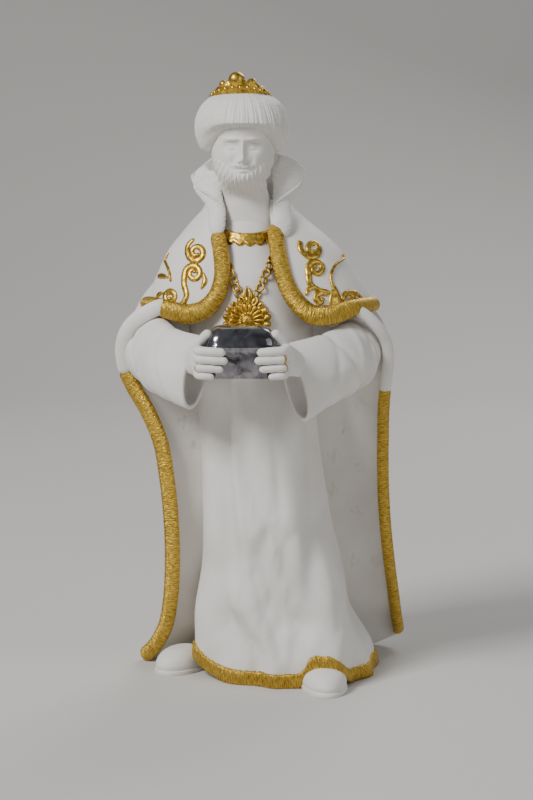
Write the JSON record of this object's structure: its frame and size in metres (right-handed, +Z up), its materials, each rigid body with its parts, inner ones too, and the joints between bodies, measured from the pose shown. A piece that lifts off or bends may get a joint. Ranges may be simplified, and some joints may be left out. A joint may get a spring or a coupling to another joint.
{
  "type": "porcelain nativity figurine",
  "caption": "Standing robed wise man in biscuit porcelain with gilt borders, holding out a small silver casket, for a nativity scene.",
  "frame": {"origin": "a point of the flat underside, 3 mm from the middle of its width, below the front of the neck", "axes": "+Z up along the figure's height, -Y the way the figure faces, +X towards the figure's left hand"},
  "size_m": [0.1604, 0.1509, 0.33],
  "materials": {
    "porcelain": "unglazed biscuit porcelain, fine and matt, off-white",
    "gilding": "satin bright gold on the carved borders, scrolls, crown, chain and pendant",
    "lustre": "glossy platinum lustre over glaze, like dark silver"
  },
  "bodies": {
    "root": {"figure": "porcelain", "casket": "lustre"}
  },
  "joints": []
}
